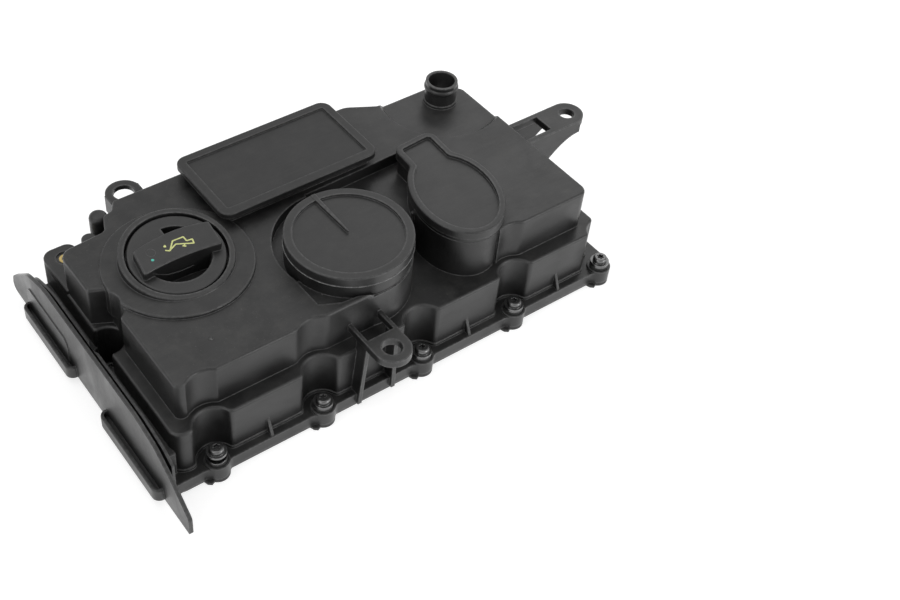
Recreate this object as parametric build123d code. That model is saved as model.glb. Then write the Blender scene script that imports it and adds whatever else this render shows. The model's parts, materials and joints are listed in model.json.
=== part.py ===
"""Valve cover of a four-cylinder engine, with its breather chambers, oil filler cap, gasket and screws.

Millimetres, +Z up.  The origin is the middle of the screw grid, on the underside of the flange.
+X runs along the cover away from the timing end, +Y points to the back, the side with the hose nipple.
"""
from build123d import *
from math import cos, pi, sin, sqrt
import os

# ---- driving dimensions ---------------------------------------------------------------------------
BORE_PITCH = 88.0            # spacing of the flange screws, one for each cylinder bulkhead
SCREW_COLUMNS = (-2, -1, 0, 1, 2)
ROW_Y = 106.0                # from the centre line to each row of flange screws
END_SCREW = (-201.0, 1.0)    # the single screw at the timing end

WALL = 3.0                   # moulded wall of the cover
FLANGE_TOP = 10.5
SHELF = 50.0                 # top of the lower storey
PLATEAU, PLATEAU_SOFT = 84.0, 2.0    # top of the upper storey and the rounding of its rim
VALLEY_RIGHT = 80.0          # right-hand end of the gap in front of the two towers

FLANGE_LEFT, FLANGE_RIGHT, FLANGE_HALF = -217.0, 188.0, 109.5
LOWER_LEFT, LOWER_RIGHT, LOWER_HALF = -205.0, 176.0, 102.5
ARCH_X, ARCH_WALL_R, ARCH_FLANGE_R, ARCH_TOP = 142.0, 50.0, 61.0, 34.0

BOSS_R, BOSS_TOP = 9.2, 12.5
FIN_THICKNESS, FIN_HEIGHT = 2.2, 16.0
LOWER_POCKET_R, UPPER_POCKET_R, END_POCKET_R = 15.0, 20.0, 12.5
UPPER_POCKET_SOFT = 10.0     # rounding between an upper pocket and the wall

FILLER = (-135.6, 12.0)      # middle of the oil filler's cap
FILLER_LEAN = 8.0            # degrees that the filler leans to the front, about the top of its cap
FILLER_DISC, FILLER_DISC_R, FILLER_DISC_TOP = (-135.8, 11.0), 55.9, 86.5
FILLER_RING_R, FILLER_RING_TOP = 42.0, 93.0
FILLER_BORE_R, FILLER_SEAT = 37.3, 84.0
NECK_R = 31.0                # inner neck that the cap's core slides into
NECK_BOTTOM = 62.0

CAP_R, CAP_TOP, CAP_UNDER = 35.9, 92.0, 85.8
CAP_RECESS_R, CAP_RECESS_FLOOR, CAP_PAN_BOTTOM = 25.5, 75.0, 73.0
CAP_CORE_BOTTOM = 66.0
GRIP_TOP = 99.5
GRIP_FILL = (-40.0, 1.0)       # stretch behind the bar, along it, where the cap isn't dished
GRIP_FRONT = [(-32.0, -11.1), (0.0, -9.2), (30.5, -12.4)]    # about the cap's axis, left to right
GRIP_BACK = [(31.8, 10.2), (3.0, 15.0), (-29.3, 10.9)]        # right to left

REGULATOR = (-25.0, -42.5)   # axis of the pressure regulator, under the round lid
REGULATOR_R, REGULATOR_TOP = 47.6, 100.0
REGULATOR_RIM = 92.0         # seat of the round lid
REGULATOR_FLOOR = 72.0
REGULATOR_BORE_R = 43.0
MOAT_CENTRE, MOAT_R = (-20.0, -36.0), 56.2
MOAT_FRONT = [(-75, -47), (-74.5, -77.5), (-60, -84.5), (-38, -86.5), (-25, -60), (-25, -40)]

OVAL = (71.0, -44.5)         # centre of the oval oil separator
OVAL_LONG, OVAL_SHORT, OVAL_TURN = 47.5, 34.2, 76.0
OVAL_SEAT, OVAL_TOP = 88.0, 95.4
SEPARATOR_FLOOR = 56.0
TAB = [(57.5, -22), (60, 20.5), (98, 23.5), (95.5, -22)]
TAB_RADII = [3, 8, 8, 3]

CHAMBER = (-20.5, 60.3)      # centre of the rectangular breather chamber
CHAMBER_SIZE = (139.0, 76.2)
CHAMBER_CORNER = 9.0
CHAMBER_OVERHANG = 5.5
CHAMBER_SEAT, CHAMBER_TOP = 91.0, 96.0
CHAMBER_FLOOR = 60.0

PIPE = (140.5, 64.4)
PIPE_R, PIPE_BORE_R, PIPE_TOP = 12.9, 10.6, 100.0
PIPE_HOLLOW_R, PIPE_HOLLOW_FLOOR = 48.0, 80.0
PIPE_BOTTOM = 66.0

FRONT_LUG, FRONT_LUG_R, FRONT_LUG_HOLE, FRONT_LUG_TOP = (-43.0, -123.5), 14.2, 7.4, 64.0
RIGHT_LUG, RIGHT_LUG_R, RIGHT_LUG_HOLE, RIGHT_LUG_TOP = (217.0, -5.3), 13.5, 6.2, 80.0
BACK_LUG, BACK_LUG_R, BACK_LUG_HOLE, BACK_LUG_TOP = (-130.5, 103.6), 14.2, 8.2, 79.0
FRONT_LUG_THICKNESS, RIGHT_LUG_THICKNESS, BACK_LUG_THICKNESS = 6.0, 6.0, 4.0

PLATE_FACE, PLATE_BACK = -220.0, -217.0      # the upright end plate at the timing end
POCKET_DEPTH, POCKET_WALL, POCKET_CORNER = 6.5, 2.4, 6.0
POCKETS = [(-110.0, -26.0), (20.0, 100.0)]
PLATE_BOTTOM, POCKET_FLOOR, POCKET_TOP = 3.5, 8.5, 14.0

INSERT = (-190.2, 88.2)      # brass insert in the back corner
INSERT_R, INSERT_TOP, INSERT_LENGTH = 4.6, 53.4, 12.0
CORNER_BOSS_TOP = 54.0

CUP_TOP = 88.0               # top of the regulator's spring cup at rest
DIAPHRAGM = 0.8              # thickness of the regulator's diaphragm
BAFFLE_THICKNESS = 2.4

GASKET_BOTTOM, GASKET_TOP = -2.0, 1.2
GASKET_LEFT, GASKET_RIGHT, GASKET_ARCH_R, EYELET_R = -209.5, 182.0, 55.5, 5.6
BEAD_HALF = 3.2              # half the width of the gasket's bead

SCREW_LIFT = 4.5             # the screw at the front left stands drawn out of its boss
SLEEVE_R, SLEEVE_BORE_R, SLEEVE_TOP = 5.0, 3.3, 16.0
COLLAR_R, COLLAR_BOTTOM = 7.2, 14.7

PARTS = "parts"
FLANGE_SCREWS = [(BORE_PITCH * c, side * ROW_Y) for side in (-1, 1) for c in SCREW_COLUMNS]
FRONT_SCREWS = [centre for centre in FLANGE_SCREWS if centre[1] < 0]
ALL_SCREWS = FLANGE_SCREWS + [END_SCREW]


# ---- helpers --------------------------------------------------------------------------------------
def outline(points, corner_radii):
    """Flat face inside a polygon whose corners are rounded one by one."""
    return make_face(FilletPolyline(*points, radius=corner_radii, close=True))


def prism(face, bottom, top):
    """Upright solid on a flat face, between two heights."""
    return Pos(0, 0, bottom) * extrude(face, amount=top - bottom, dir=(0, 0, 1))


def disc(centre, radius, bottom, top):
    """Upright round bar between two heights."""
    bar = Cylinder(radius, top - bottom, align=(Align.CENTER, Align.CENTER, Align.MIN))
    return Pos(centre[0], centre[1], bottom) * bar


def cone(centre, low_radius, high_radius, bottom, top):
    """Upright tapered bar between two heights."""
    return Pos(centre[0], centre[1], bottom) * Cone(
        low_radius, high_radius, top - bottom, align=(Align.CENTER, Align.CENTER, Align.MIN)
    )


def tube(centre, outer, inner, bottom, top):
    """Upright round tube between two heights."""
    return disc(centre, outer, bottom, top) - disc(centre, inner, bottom - 1, top + 1)


def block(low, high):
    """Box between its lowest and highest corners."""
    size = [b - a for a, b in zip(low, high)]
    return Pos(*low) * Box(*size, align=(Align.MIN, Align.MIN, Align.MIN))


def circle_face(centre, radius):
    """Round flat face."""
    return Pos(centre[0], centre[1], 0) * Circle(radius)


def round_new_corners(face, centres, circle_radius, corner_radius):
    """Round the corners that a round cut-out left where its circle meets the straight edges."""
    corners = []
    for vertex in face.vertices():
        for x, y in centres:
            if abs(sqrt((vertex.X - x) ** 2 + (vertex.Y - y) ** 2) - circle_radius) < 1e-3:
                corners.append(vertex)
                break
    return fillet(corners, corner_radius)


def leaning(shape):
    """The shape turned with the filler, which leans to the front about the middle of its cap's top."""
    to_middle = Pos(FILLER[0], FILLER[1], CAP_TOP)
    from_middle = Pos(-FILLER[0], -FILLER[1], -CAP_TOP)
    return to_middle * Rot(FILLER_LEAN, 0, 0) * from_middle * shape


def grown(face, amount):
    """The same outline moved outwards by an amount, or inwards if it is negative."""
    return offset(face, amount=amount, kind=Kind.INTERSECTION)


def soft_top(solid, radius):
    """Round the edges of a solid's top face."""
    return fillet(solid.edges().group_by(Axis.Z)[-1], radius)


def soft_bottom(solid, radius):
    """Round the edges of a solid's bottom face."""
    return fillet(solid.edges().group_by(Axis.Z)[0], radius)


# ---- outlines of the two storeys ------------------------------------------------------------------
def lower_outline(inset=0.0):
    """Lower storey: a rectangle with a concave bay round every flange screw."""
    left, right, half = LOWER_LEFT + inset, LOWER_RIGHT - inset, LOWER_HALF - inset
    corner = 10 - inset
    face = outline([(left, -half), (right, -half), (right, half), (left, half)], [corner, 0, 0, corner])
    for centre in FLANGE_SCREWS:
        face -= circle_face(centre, LOWER_POCKET_R + inset)
    face -= circle_face(END_SCREW, END_POCKET_R + inset)
    if inset > 0:
        return face
    face = round_new_corners(face, FLANGE_SCREWS, LOWER_POCKET_R + inset, 4)
    return round_new_corners(face, [END_SCREW], END_POCKET_R + inset, 3)


def ellipse_face(extra=0.0):
    """Ellipse of the oil separator's tower."""
    return Pos(*OVAL) * Rot(0, 0, OVAL_TURN) * Ellipse(OVAL_LONG + extra, OVAL_SHORT + extra)


def oval_face(extra=0.0):
    """Plan of the oval separator: an ellipse with a straight tab towards the breather chamber."""
    ellipse = ellipse_face(extra)
    tab = outline(TAB, TAB_RADII)
    if extra:
        tab = grown(tab, extra)
    face = ellipse + tab
    throat = [vertex for vertex in face.vertices() if -20 < vertex.Y < 6]
    return fillet(throat, 6)


def upper_outline():
    """Upper storey, before its bays and the valley between the two towers are cut."""
    points = [
        (-195, -90), (165, -90), (165, 67), (143, 82), (90, 82), (66, 95),
        (-144, 95), (-150, 86), (-158, 84), (-164, 69),
        (-203, 66), (-203, 21), (-189, 14), (-189, -9), (-195, -14),
    ]
    return outline(points, [5, 8, 8, 8, 10, 16, 3, 5, 5, 6, 10, 2, 0, 0, 3])


def upper_plan(inset=0.0):
    """Upper storey with shallow bays above the flange screws and the valley between the towers."""
    face = upper_outline()
    if inset:
        face = grown(face, -inset)
    for centre in FRONT_SCREWS:
        face -= circle_face(centre, UPPER_POCKET_R + inset)
    if not inset:
        face = round_new_corners(face, FRONT_SCREWS[:1], UPPER_POCKET_R, 2)
        face = round_new_corners(face, FRONT_SCREWS[1:], UPPER_POCKET_R, UPPER_POCKET_SOFT)
    face -= circle_face(END_SCREW, END_POCKET_R + inset)
    return face - valley_face(inset)


def valley_face(widen=0.0):
    """The gap in the upper storey in front of and between the two towers."""
    points = [
        (REGULATOR[0], -96), (VALLEY_RIGHT, -96), (VALLEY_RIGHT, -70), (OVAL[0], -38), (REGULATOR[0], -38),
    ]
    gap = make_face(Polyline(*points, close=True))
    if widen:
        gap = grown(gap, widen)
    return gap - circle_face(REGULATOR, REGULATOR_R - widen) - ellipse_face(-1.5 - widen)


# ---- the cover ------------------------------------------------------------------------------------
def flange():
    """Flange with its screw bosses, the arch at the far end and the fins that stiffen it."""
    plan = outline(
        [
            (FLANGE_LEFT, -FLANGE_HALF),
            (FLANGE_RIGHT, -FLANGE_HALF),
            (FLANGE_RIGHT, FLANGE_HALF),
            (FLANGE_LEFT, FLANGE_HALF),
        ],
        [6, 10, 10, 6],
    )
    for centre in FLANGE_SCREWS:
        plan += circle_face(centre, BOSS_R)
    plan = round_new_corners(plan, FLANGE_SCREWS, BOSS_R, 5)
    plan += circle_face((ARCH_X, 0), ARCH_FLANGE_R)
    body = prism(plan, 0, FLANGE_TOP)
    for centre in ALL_SCREWS:
        body += disc(centre, BOSS_R, 0, BOSS_TOP)
    return body


def fins():
    """Thin triangular fins on the flange, half way between the screws."""
    made = []
    for side in (-1, 1):
        for column in (-1.5, -0.5, 0.5, 1.5):
            if side < 0 and column == -0.5:
                continue
            x = BORE_PITCH * column
            profile = Polyline(
                (x, side * (LOWER_HALF - 1), FLANGE_TOP - 1),
                (x, side * (FLANGE_HALF - 0.5), FLANGE_TOP - 1),
                (x, side * (LOWER_HALF - 1), FLANGE_TOP + FIN_HEIGHT),
                close=True,
            )
            fin = extrude(make_face(profile), amount=FIN_THICKNESS, dir=(1, 0, 0))
            made.append(Pos(-FIN_THICKNESS / 2, 0, 0) * fin)
    return made


def lower_storey():
    """Outside of the lower storey with the half-round bulge for the camshaft end."""
    body = soft_top(prism(lower_outline(), 0, SHELF), 2)
    bulge = soft_top(disc((ARCH_X, 0), ARCH_WALL_R, 0, ARCH_TOP), 6)
    foot = prism(lower_outline(-0.8), 0, FLANGE_TOP + 2)
    corner_boss = soft_top(prism(corner_boss_face(), 0, CORNER_BOSS_TOP), 1.5)
    return body + bulge + foot + corner_boss


def corner_boss_face():
    """Plan of the raised boss in the back corner, round the brass insert."""
    left, right, front, back = LOWER_LEFT + 0.4, -178, 56, LOWER_HALF
    return outline([(left, front), (right, front), (right, back), (left, back)], [2, 2, 8, 9])


def upper_storey():
    """Outside of the upper storey."""
    body = prism(upper_plan(), SHELF - 6, PLATEAU)
    rim = []
    for edge in body.edges().group_by(Axis.Z)[-1]:
        middle = edge @ 0.5
        in_valley = REGULATOR[0] - 2 < middle.X < VALLEY_RIGHT + 1.5 and middle.Y < -30
        if not in_valley:
            rim.append(edge)
    return fillet(rim, PLATEAU_SOFT)


def towers():
    """Regulator tower, oval separator, breather chamber and filler disc, as solid outsides."""
    regulator = cone(REGULATOR, REGULATOR_R + 0.9, REGULATOR_R - 1.4, SHELF - 6, REGULATOR_RIM)
    separator = prism(oval_face(-1.8), SHELF - 6, OVAL_SEAT)
    chamber = prism(chamber_face(-CHAMBER_OVERHANG), CHAMBER_FLOOR, CHAMBER_SEAT)
    filler = soft_top(disc(FILLER_DISC, FILLER_DISC_R, NECK_BOTTOM, FILLER_DISC_TOP), 1)
    filler -= disc(END_SCREW, END_POCKET_R, 0, PLATEAU + 10)
    ring = leaning(soft_top(disc(FILLER, FILLER_RING_R, NECK_BOTTOM, FILLER_RING_TOP), 1.2))
    return regulator + separator + chamber + filler + ring


def chamber_face(extra=0.0):
    """Plan of the rectangular breather chamber."""
    width, depth = CHAMBER_SIZE
    corner = max(CHAMBER_CORNER + extra, 1.5)
    return Pos(*CHAMBER) * RectangleRounded(width + 2 * extra, depth + 2 * extra, corner)


def corner_floor_face():
    """Plan of the deep triangular floor between the three lids."""
    points = [(-20, 22.5), (74, 25), (74, -24), (30, -38), (-20, -38)]
    return make_face(Polyline(*points, close=True))


def lowered_floors(grow=0.0, drop=0.0):
    """Space above the lowered floors, to cut from the plateau."""
    deep, shallow, triangle = 75.0, 80.5, 74.0
    circle = circle_face(MOAT_CENTRE, MOAT_R + grow)
    front = block((-100, -120, shallow - drop), (60, -48, PLATEAU + 20))
    front_floor = make_face(Polyline(*MOAT_FRONT, close=True))
    back = block((-100, -48 - grow, deep - drop), (60, 60, PLATEAU + 20))
    disc_space = prism(circle, 60, PLATEAU + 20)
    corner = corner_floor_face()
    if grow:
        corner = grown(corner, grow)
        front_floor = grown(front_floor, grow)
    corner_space = prism(corner, triangle - drop, PLATEAU + 20)
    front_space = prism(front_floor, shallow - drop, PLATEAU + 20)
    return (disc_space & front) + (disc_space & back) + corner_space + front_space


def pipe_hollow(grow=0.0, drop=0.0):
    """Shallow dish round the foot of the hose nipple."""
    low_r, high_r = PIPE_HOLLOW_R + grow - drop, PIPE_HOLLOW_R + 5 + grow
    return cone(PIPE, low_r, high_r, PIPE_HOLLOW_FLOOR - drop, PLATEAU + 1)


def outside():
    """The cover as if it were solid."""
    storeys = flange() + lower_storey() + upper_storey()
    storeys -= lowered_floors()
    storeys -= pipe_hollow()
    return storeys + towers()


def hollow():
    """The space under the cover, less what hangs into it."""
    lower = prism(lower_outline(WALL), -1, SHELF - WALL)
    bulge = disc((ARCH_X, 0), ARCH_WALL_R - WALL, -1, ARCH_TOP - WALL)
    upper = prism(upper_plan(WALL), SHELF - 8, PLATEAU - WALL)
    upper -= lowered_floors(grow=WALL, drop=WALL)
    upper -= pipe_hollow(grow=WALL, drop=WALL)
    upper -= disc(REGULATOR, REGULATOR_R, REGULATOR_FLOOR - WALL, PLATEAU)
    upper -= prism(oval_face(-1.8), SEPARATOR_FLOOR - WALL, PLATEAU)
    upper -= prism(chamber_face(-CHAMBER_OVERHANG), CHAMBER_FLOOR, PLATEAU)
    upper -= leaning(disc(FILLER, NECK_R + WALL, NECK_BOTTOM, PLATEAU + 10))
    upper -= leaning(disc(FILLER, FILLER_BORE_R + WALL, FILLER_SEAT - WALL, PLATEAU + 10))
    upper -= disc(PIPE, PIPE_R, PIPE_BOTTOM, PLATEAU)
    corner = make_face(Polyline((-206, -104), (-176, -104), (-206, -80), close=True))
    insert_boss = disc(INSERT, 7.5, 20, SHELF)
    return lower + bulge + upper - prism(corner, -1, FLANGE_TOP) - insert_boss


def chambers():
    """The spaces inside the towers, the chamber, the neck and the nipple."""
    regulator = disc(REGULATOR, REGULATOR_BORE_R, REGULATOR_FLOOR, REGULATOR_RIM + 1)
    separator = prism(oval_face(-1.8 - WALL), SEPARATOR_FLOOR, OVAL_SEAT + 1)
    chamber = prism(chamber_face(-CHAMBER_OVERHANG - WALL), CHAMBER_FLOOR - 1, CHAMBER_SEAT + 1)
    seat = leaning(disc(FILLER, FILLER_BORE_R, FILLER_SEAT, FILLER_RING_TOP + 1))
    neck = leaning(disc(FILLER, NECK_R, NECK_BOTTOM - 1, FILLER_SEAT + 1))
    drain = disc(OVAL, 4, SEPARATOR_FLOOR - WALL - 1, SEPARATOR_FLOOR + 1)
    return regulator + separator + chamber + seat + neck + drain


def regulator_port():
    """Port tube on the regulator's floor, which the spring cup closes at full vacuum."""
    return tube(REGULATOR, 12, 9.5, REGULATOR_FLOOR - 1, REGULATOR_FLOOR + 8)


def chamber_ribs():
    """Staggered labyrinth walls inside the breather chamber."""
    width, depth = CHAMBER_SIZE
    x0, y0 = CHAMBER
    reach = depth / 2 - CHAMBER_OVERHANG - WALL / 2
    gap = 16.0
    made = []
    for index in range(4):
        x = x0 - width / 2 + width * (index + 1) / 5
        low, high = -reach, reach - gap
        if index % 2:
            low, high = gap - reach, reach
        made.append(block((x - 1, y0 + low, CHAMBER_FLOOR), (x + 1, y0 + high, CHAMBER_SEAT - 2)))
    return made


def baffle_screw_points():
    """Places of the four small screws that hold the oil baffle."""
    x0 = CHAMBER[0]
    return [(x0 + dx, y) for dx in (-67.5, 67.5) for y in (36.0, 72.0)]


def baffle_bosses():
    """Bosses that the oil baffle is screwed to, hanging from the inside of the plateau."""
    made = []
    for centre in baffle_screw_points():
        boss = disc(centre, 4, CHAMBER_FLOOR, PLATEAU - WALL + 1)
        made.append(boss - disc(centre, 1.4, CHAMBER_FLOOR - 1, CHAMBER_FLOOR + 11))
    return made


def pipe():
    """Hose nipple with its base ring and the bead that holds the hose."""
    body = disc(PIPE, 13.6, PIPE_HOLLOW_FLOOR - 1, PIPE_HOLLOW_FLOOR + 2.5)
    body += disc(PIPE, PIPE_R, PIPE_BOTTOM, PIPE_TOP)
    bead = Pos(PIPE[0], PIPE[1], PIPE_TOP - 5.5) * Torus(PIPE_R - 1.9, 3.0)
    return body + bead


def front_lug():
    """Bracket at the front: a ring on two thin arms, with two ribs down to the flange."""
    x, y = FRONT_LUG
    top, bottom = FRONT_LUG_TOP, FRONT_LUG_TOP - FRONT_LUG_THICKNESS
    radius, arm = FRONT_LUG_R, 3.0
    plate = block((x - radius, y, bottom), (x + radius, -88, top)) + disc(FRONT_LUG, radius, bottom, top)
    window = block((x - radius + arm, -109.5, bottom - 1), (x + radius - arm, -90, top + 1))
    body = plate - window - disc(FRONT_LUG, FRONT_LUG_HOLE, bottom - 1, top + 1)
    for side, spread in ((-1, 4.5), (1, 0.5)):
        edge = x + side * (radius - 0.2)
        foot = edge + side * spread
        profile = Polyline(
            (edge - side * 3.2, -112.5, bottom + 0.5),
            (edge, -112.5, bottom + 0.5),
            (foot, -112.5, 2),
            (foot - side * 3.2, -112.5, 2),
            close=True,
        )
        body += extrude(make_face(profile), amount=12, dir=(0, 1, 0))
    return body


def right_lug():
    """Bracket at the far end: a ring on two deep webs with a square window between them."""
    x, y = RIGHT_LUG
    top, bottom = RIGHT_LUG_TOP, RIGHT_LUG_TOP - RIGHT_LUG_THICKNESS
    radius, wall_x = RIGHT_LUG_R, 163.0
    plate = block((wall_x, y - radius, bottom), (x, y + radius, top)) + disc(RIGHT_LUG, radius, bottom, top)
    window = block((wall_x, y - radius + 5, bottom - 1), (193, y + radius - 4, top + 1))
    body = plate - window - disc(RIGHT_LUG, RIGHT_LUG_HOLE, bottom - 1, top + 1)
    lower_edge = Spline((174.5, y, 43), (186, y, 49), (199, y, 60), (209, y, 66), (x + 4, y, 68.5))
    sides = Polyline(
        (x + 4, y, 68.5), (x + 4, y, bottom + 1), (wall_x, y, bottom + 1), (wall_x, y, 43), (174.5, y, 43)
    )
    web = extrude(make_face(lower_edge + sides), amount=3, dir=(0, 1, 0))
    body += Pos(0, -radius, 0) * web
    body += Pos(0, radius - 3, 0) * web
    return body


def back_lug():
    """Thin ring at the back of the plateau on two short skirts, and the round humps beside it."""
    top, bottom = BACK_LUG_TOP, BACK_LUG_TOP - BACK_LUG_THICKNESS
    x, y = BACK_LUG
    ring = disc(BACK_LUG, BACK_LUG_R, bottom, top)
    ring += block((x - BACK_LUG_R, 84, bottom), (x + BACK_LUG_R, y, top))
    for side in (-1, 1):
        low_x = x + side * (BACK_LUG_R - 1.25) - 1.25
        ring += block((low_x, 94, top - 15), (low_x + 2.5, y + 4, top))
    ring -= disc(BACK_LUG, BACK_LUG_HOLE, bottom - 1, top + 1)
    hump = soft_top(disc((-158.5, 91.5), 7.2, FLANGE_TOP - 1, 80), 4)
    bump = soft_top(disc((-174, 76), 6, SHELF - 1, 76), 2)
    return ring + hump + bump


def plate_outline(inset=0.0, tip_radii=(12, 3)):
    """Profile of the end plate, seen along X: flat below, a long low arch above."""
    points = [
        (-144 + inset, PLATE_BOTTOM), (-144 + 0.4 * inset, 20 - inset), (-120, 39 - inset),
        (-100, 51 - inset), (-74, 56 - inset), (66, 56 - inset), (96, 46 - inset),
        (127 - 0.5 * inset, 19 - inset), (131 - inset, PLATE_BOTTOM),
    ]
    radii = [1, 6, 30, 30, 60, 60, 30, *tip_radii]
    return make_face(FilletPolyline(*[(0, y, z) for y, z in points], radius=radii, close=True))


def end_plate():
    """Upright plate at the timing end, the rib behind it and the open-topped pockets on its face."""
    profile = plate_outline(tip_radii=(13, 6))
    plate = Pos(PLATE_FACE, 0, 0) * extrude(profile, amount=PLATE_BACK - PLATE_FACE, dir=(1, 0, 0))
    rib = Pos(-213.5, 0, 0) * extrude(plate_outline(7.0), amount=2.2, dir=(1, 0, 0))
    rib -= block((-220, -150, 0), (-205, -112, 60))
    web = block((PLATE_BACK - 1, -100, 1), (LOWER_LEFT + 1, 92, 32)) - disc(END_SCREW, END_POCKET_R, 0, 60)
    pad = block((PLATE_FACE - 0.8, 30, 1), (PLATE_FACE, 98, 33))
    body = plate + rib + web + soft_pad(pad)
    for low_y, high_y in POCKETS:
        middle = (PLATE_FACE + POCKET_DEPTH / 2, (low_y + high_y) / 2)
        plan = Pos(*middle) * RectangleRounded(3 * POCKET_DEPTH, high_y - low_y, POCKET_CORNER)
        pocket = soft_top(prism(plan, PLATE_BOTTOM, POCKET_TOP), 0.9)
        pocket -= prism(grown(plan, -POCKET_WALL), POCKET_FLOOR, POCKET_TOP + 1)
        body += pocket - block((PLATE_FACE, -200, 0), (0, 200, 60))
    return body - disc(END_SCREW, END_POCKET_R, BOSS_TOP, 60)


def soft_pad(pad):
    """Round the upper corners of the pad on the end plate."""
    corners = pad.edges().filter_by(Axis.X).group_by(Axis.Z)[-1]
    return fillet(corners, 7)


def ceiling_ribs():
    """Stiffening ribs under the plateau, clear of the chambers."""
    top, depth = PLATEAU - WALL + 0.5, 8.0
    made = []
    for x in (-182, -100, 118, 142):
        made.append(block((x - 1, -86, top - depth), (x + 1, -52, top)))
    for low_x, high_x in ((-190, -84), (109, 161)):
        made.append(block((low_x, -69, top - depth), (high_x, -67, top)))
    return made


def cover_body():
    """The moulded cover, one piece."""
    body = outside() + front_lug() + right_lug() + back_lug() + end_plate() + pipe()
    for fin in fins():
        body += fin
    body -= hollow()
    body -= chambers()
    body -= disc(PIPE, PIPE_BORE_R, PIPE_BOTTOM - 1, PIPE_TOP + 1)
    body += regulator_port()
    body -= disc(REGULATOR, 9.5, REGULATOR_FLOOR - WALL - 1, REGULATOR_FLOOR + 9)
    for piece in chamber_ribs() + baffle_bosses() + ceiling_ribs():
        body += piece
    for centre in ALL_SCREWS:
        body -= disc(centre, SLEEVE_R, -1, BOSS_TOP + 1)
    body -= disc(INSERT, INSERT_R, INSERT_TOP - INSERT_LENGTH, CORNER_BOSS_TOP + 1)
    body -= disc(INSERT, INSERT_R + 2.2, INSERT_TOP - 0.5, CORNER_BOSS_TOP + 1)
    body -= prism(gasket_face(), -1, GASKET_TOP)
    return body


# ---- gasket and fastenings ------------------------------------------------------------------------
def gasket_rim(extra):
    """The gasket's run as a face, moved outwards by extra from the middle of its bead."""
    half = ROW_Y - 0.6
    left, right = GASKET_LEFT, GASKET_RIGHT
    plan = outline([(left, -half), (right, -half), (right, half), (left, half)], [8, 8, 8, 8])
    plan += circle_face((ARCH_X, 0), GASKET_ARCH_R)
    return offset(plan, amount=extra, kind=Kind.ARC)


def gasket_face():
    """Plan of the gasket: a bead round the flange, an eyelet at every screw and a web in one corner."""
    face = gasket_rim(BEAD_HALF) - gasket_rim(-BEAD_HALF)
    for centre in ALL_SCREWS:
        face += circle_face(centre, BOSS_R)
    half = ROW_Y - 0.6
    face += make_face(Polyline((GASKET_LEFT, -half), (-178, -half), (GASKET_LEFT, -82), close=True))
    for centre in ALL_SCREWS:
        face -= circle_face(centre, EYELET_R)
    return face


def gasket_tabs():
    """Pointed pull tabs that stand out beside the screws on the two long sides."""
    made = []
    for x, y in FLANGE_SCREWS:
        side = 1 if y > 0 else -1
        points = [(x - 14, y - side * 2), (x - 11.5, y + side * 6), (x - 9, y + side * 8), (x, y + side * 4)]
        tab = make_face(Polyline(*points, close=True)) - circle_face((x, y), EYELET_R)
        made.append(prism(tab, GASKET_BOTTOM, 0))
    return made


def gasket():
    """Elastomer gasket in the groove of the flange."""
    body = prism(gasket_face(), GASKET_BOTTOM, GASKET_TOP)
    for tab in gasket_tabs():
        body += tab
    return body


def torx_recess(depth):
    """Six-lobed recess of a screw head, pointing down from z = 0."""
    body = Pos(0, 0, -depth) * Cylinder(1.9, depth + 1, align=(Align.CENTER, Align.CENTER, Align.MIN))
    for index in range(6):
        angle = pi * index / 3
        lobe = Pos(1.9 * cos(angle), 1.9 * sin(angle), -depth)
        body += lobe * Cylinder(0.8, depth + 1, align=(Align.CENTER, Align.CENTER, Align.MIN))
    return body


def flange_screw(centre, lift):
    """Pan-head screw with a washer flange; lift is how far it stands out of its boss."""
    base = SLEEVE_TOP + lift
    tip = GASKET_BOTTOM + 0.3 + lift
    head = soft_top(disc(centre, 5.4, base, base + 5.6), 1.6)
    body = head + disc(centre, 7.3, base, base + 1.6) + disc(centre, 2.95, tip, base + 1)
    body += tube(centre, 3.2, 2.9, base - 2, base)
    return body - Pos(centre[0], centre[1], base + 5.6) * torx_recess(3)


def flange_screws():
    """The eleven flange screws, one group of separate solids."""
    drawn_out = FLANGE_SCREWS[0]
    return Compound([flange_screw(c, SCREW_LIFT if c == drawn_out else 0.0) for c in ALL_SCREWS])


def screw_sleeves():
    """Steel sleeves that carry the screws' clamping force past the plastic."""
    made = []
    for centre in ALL_SCREWS:
        collar = tube(centre, COLLAR_R, SLEEVE_BORE_R, COLLAR_BOTTOM, SLEEVE_TOP)
        made.append(tube(centre, SLEEVE_R, SLEEVE_BORE_R, 0, SLEEVE_TOP) + collar)
    return Compound(made)


def screw_grommets():
    """Rubber rings between the bosses and the collars of the sleeves."""
    return Compound([tube(centre, COLLAR_R, SLEEVE_R, BOSS_TOP, COLLAR_BOTTOM) for centre in ALL_SCREWS])


def corner_insert():
    """Knurled brass insert in the back corner boss."""
    body = tube(INSERT, INSERT_R, 2.5, INSERT_TOP - INSERT_LENGTH, INSERT_TOP)
    return body - tube(INSERT, INSERT_R + 1, INSERT_R - 0.5, INSERT_TOP - 7, INSERT_TOP - 5)


# ---- lids -----------------------------------------------------------------------------------------
def regulator_lid():
    """Round lid with a raised rim and a short rib from the back of the rim to the middle."""
    rim, recess = 6.8, 1.8
    body = soft_top(disc(REGULATOR, REGULATOR_R, REGULATOR_RIM, REGULATOR_TOP), 0.8)
    body -= disc(REGULATOR, REGULATOR_R - rim, REGULATOR_TOP - recess, REGULATOR_TOP + 1)
    body -= disc(REGULATOR, REGULATOR_BORE_R - 3, REGULATOR_RIM - 1, REGULATOR_TOP - 4.5)
    x, y = REGULATOR
    edge = y + REGULATOR_R - 0.6
    corners = [(x - 1.9, edge), (x + 1.9, edge), (x + 0.5, y + 1), (x - 0.5, y + 1)]
    wedge = make_face(Polyline(*corners, close=True))
    return body + prism(wedge, REGULATOR_TOP - recess - 0.5, REGULATOR_TOP + 0.5)


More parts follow.
